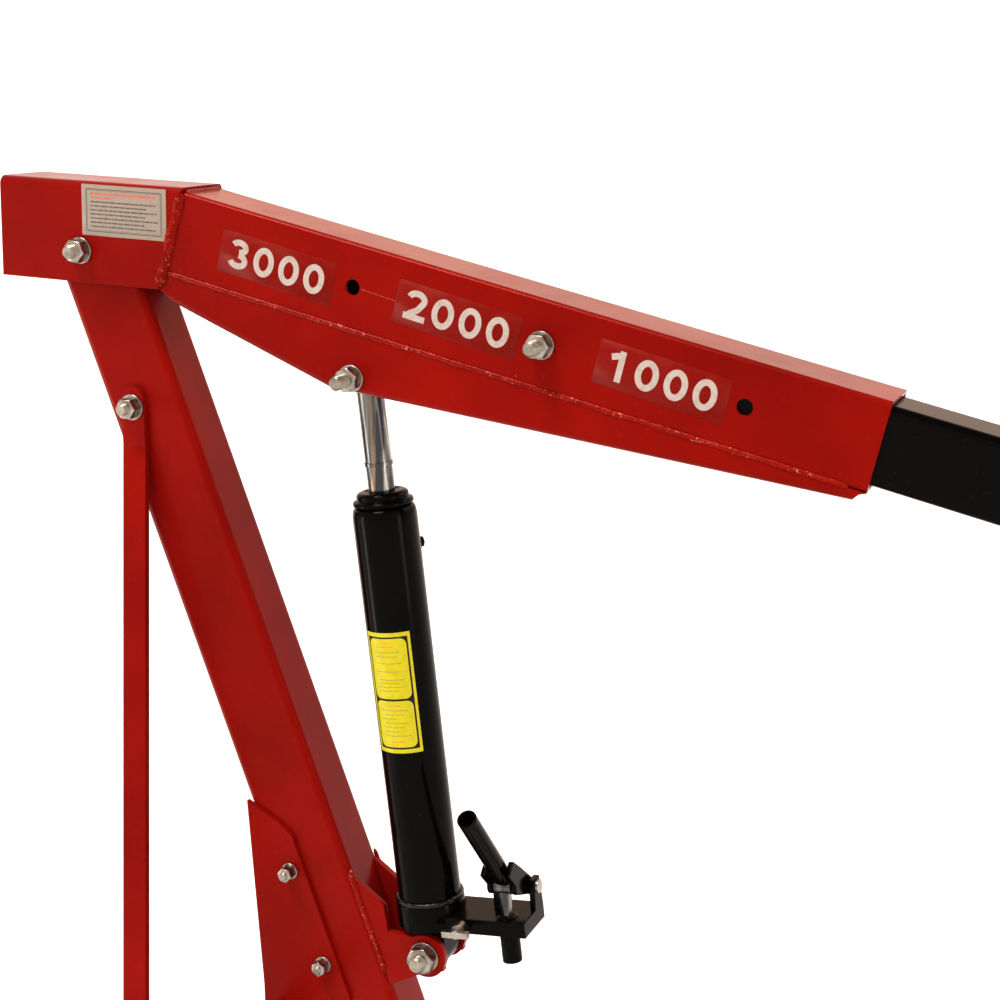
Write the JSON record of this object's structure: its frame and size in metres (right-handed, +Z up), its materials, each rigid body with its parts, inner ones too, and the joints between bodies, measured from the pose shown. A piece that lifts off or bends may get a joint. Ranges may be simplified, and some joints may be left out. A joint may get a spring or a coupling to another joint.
{
  "type": "engine hoist crane",
  "caption": "Rolling engine hoist: leaning mast, ram-lifted telescoping boom with swivel hook, long-ram pump, braces and caster legs.",
  "frame": {"origin": "centre of the bounding box on the floor plane, under the wheels", "axes": "+X forward along the boom, +Y to the hoist's left, +Z up"},
  "size_m": [1.7201, 0.8994, 1.6019],
  "materials": {
    "red_paint": "gloss powder coat",
    "black_paint": "gloss",
    "zinc": "yellow zinc plate",
    "bare_steel": "machined",
    "chrome": "polished",
    "grip_rubber": "matte",
    "cap_plastic": "matte",
    "wheel_nylon": "satin"
  },
  "bodies": {
    "chassis": {"base_rail_left": "red_paint", "base_rail_right": "red_paint", "rear_crossmember": "red_paint", "mast_crossmember": "red_paint", "base_spine": "red_paint", "leg_left": "red_paint", "leg_right": "red_paint", "leg_bolts": "zinc", "leg_end_caps": "cap_plastic", "mast_foot": "red_paint", "mast_foot_bolts": "zinc", "mast": "red_paint", "pivot_bushing": "bare_steel", "brace_left": "red_paint", "brace_right": "red_paint", "brace_top_bolt": "zinc", "brace_foot_bolts": "zinc", "handle_bracket": "red_paint", "handle_bolts": "zinc", "push_handle": "black_paint", "handle_grips": "grip_rubber", "ram_bracket": "red_paint", "ram_foot_pin": "zinc", "caster_plates": "zinc", "caster_kingpins": "zinc", "caster_bolts": "zinc", "rigid_caster_forks": "zinc"},
    "boom": {"head_yoke": "red_paint", "boom_tube": "red_paint", "boom_reinforcement": "red_paint", "pivot_bolt": "zinc", "ram_top_bolt": "zinc"},
    "extension": {"extension_tube": "black_paint", "extension_tip": "black_paint", "reach_lock_bolt": "zinc", "hook_pin": "zinc"},
    "hook_frame": {"hook_swivel_frame": "black_paint"},
    "hook_body": {"hook": "black_paint"},
    "latch": {"hook_latch": "zinc"},
    "cylinder": {"ram_cylinder": "black_paint", "ram_gland": "black_paint", "pump_block": "black_paint", "pump_pivot_pin": "zinc", "filler_plug": "zinc"},
    "rod": {"ram_rod": "chrome", "rod_eye": "zinc", "rod_collar": "chrome"},
    "piston": {"pump_piston": "chrome"},
    "lever": {"pump_lever": "black_paint"},
    "valve": {"release_valve": "zinc"},
    "fork_rear_left": {"fork_rear_left": "zinc"},
    "fork_rear_right": {"fork_rear_right": "zinc"},
    "fork_front_left": {"fork_front_left": "zinc"},
    "fork_front_right": {"fork_front_right": "zinc"},
    "wheel_rear_left": {"wheel_rear_left": "wheel_nylon"},
    "wheel_rear_right": {"wheel_rear_right": "wheel_nylon"},
    "wheel_mid_left": {"wheel_mid_left": "wheel_nylon"},
    "wheel_mid_right": {"wheel_mid_right": "wheel_nylon"},
    "wheel_front_left": {"wheel_front_left": "wheel_nylon"},
    "wheel_front_right": {"wheel_front_right": "wheel_nylon"}
  },
  "joints": [
    {"name": "boom_lift", "type": "hinge", "parent": "chassis", "child": "boom", "pos_m": [-0.75, 0, 1.52], "axis": [0, -1, 0], "range_deg": [-4.5, 55]},
    {"name": "ram_swing", "type": "hinge", "parent": "chassis", "child": "cylinder", "pos_m": [-0.33512, 0, 0.7199], "axis": [0, -1, 0], "range_deg": [-1.5, 0.2]},
    {"name": "rod_slide", "type": "slide", "parent": "cylinder", "child": "rod", "axis": [-0.1123, 0, 0.9937], "range_m": [-0.0285, 0.335]},
    {"name": "boom_extend", "type": "slide", "parent": "boom", "child": "extension", "axis": [0.975, 0, -0.2224], "range_m": [-0.222, 0.222]},
    {"name": "hook_swing", "type": "hinge", "parent": "extension", "child": "hook_frame", "pos_m": [0.54234, 0, 1.24243], "axis": [0, 1, 0], "range_deg": [-55, 55]},
    {"name": "hook_swivel", "type": "hinge", "parent": "hook_frame", "child": "hook_body", "pos_m": [0.54234, 0, 1.15243], "axis": [0, 0, 1], "continuous": true},
    {"name": "latch_spring", "type": "hinge", "parent": "hook_body", "child": "latch", "pos_m": [0.56234, 0, 1.14843], "axis": [0, 1, 0], "range_deg": [0, 28], "stiffness_Nm_per_rad": 0.05, "springref_deg": -11.46},
    {"name": "pump_stroke", "type": "hinge", "parent": "cylinder", "child": "lever", "pos_m": [-0.24149, 0.02, 0.80495], "axis": [0.9937, 0, 0.1123], "range_deg": [0, 45]},
    {"name": "piston_slide", "type": "slide", "parent": "cylinder", "child": "piston", "axis": [-0.1123, 0, 0.9937], "range_m": [-0.0265, 0]},
    {"name": "release_turn", "type": "hinge", "parent": "cylinder", "child": "valve", "pos_m": [-0.28795, -0.04, 0.76549], "axis": [0, 1, 0], "range_deg": [0, 180]},
    {"name": "swivel_rear_left", "type": "hinge", "parent": "chassis", "child": "fork_rear_left", "pos_m": [-0.58997, 0.3289, 0.1], "axis": [0, 0, 1], "continuous": true},
    {"name": "swivel_rear_right", "type": "hinge", "parent": "chassis", "child": "fork_rear_right", "pos_m": [-0.58997, -0.3289, 0.1], "axis": [0, 0, 1], "continuous": true},
    {"name": "swivel_front_left", "type": "hinge", "parent": "chassis", "child": "fork_front_left", "pos_m": [0.78614, 0.40102, 0.1], "axis": [0, 0, 1], "continuous": true},
    {"name": "swivel_front_right", "type": "hinge", "parent": "chassis", "child": "fork_front_right", "pos_m": [0.78614, -0.40102, 0.1], "axis": [0, 0, 1], "continuous": true},
    {"name": "spin_rear_left", "type": "hinge", "parent": "fork_rear_left", "child": "wheel_rear_left", "pos_m": [-0.61394, 0.32765, 0.042], "axis": [-0.0523, 0.9986, 0], "continuous": true},
    {"name": "spin_rear_right", "type": "hinge", "parent": "fork_rear_right", "child": "wheel_rear_right", "pos_m": [-0.61394, -0.32765, 0.042], "axis": [0.0523, 0.9986, 0], "continuous": true},
    {"name": "spin_mid_left", "type": "hinge", "parent": "chassis", "child": "wheel_mid_left", "pos_m": [-0.37227, 0.34031, 0.042], "axis": [-0.0523, 0.9986, 0], "continuous": true},
    {"name": "spin_mid_right", "type": "hinge", "parent": "chassis", "child": "wheel_mid_right", "pos_m": [-0.37227, -0.34031, 0.042], "axis": [0.0523, 0.9986, 0], "continuous": true},
    {"name": "spin_front_left", "type": "hinge", "parent": "fork_front_left", "child": "wheel_front_left", "pos_m": [0.76217, 0.39976, 0.042], "axis": [-0.0523, 0.9986, 0], "continuous": true},
    {"name": "spin_front_right", "type": "hinge", "parent": "fork_front_right", "child": "wheel_front_right", "pos_m": [0.76217, -0.39976, 0.042], "axis": [0.0523, 0.9986, 0], "continuous": true}
  ],
  "couplings": [
    {"joint": "ram_swing", "follows": "boom_lift", "ratio": -0.025},
    {"joint": "rod_slide", "follows": "boom_lift", "m_per_rad": 0.347},
    {"joint": "piston_slide", "follows": "pump_stroke", "m_per_rad": -0.0331}
  ]
}
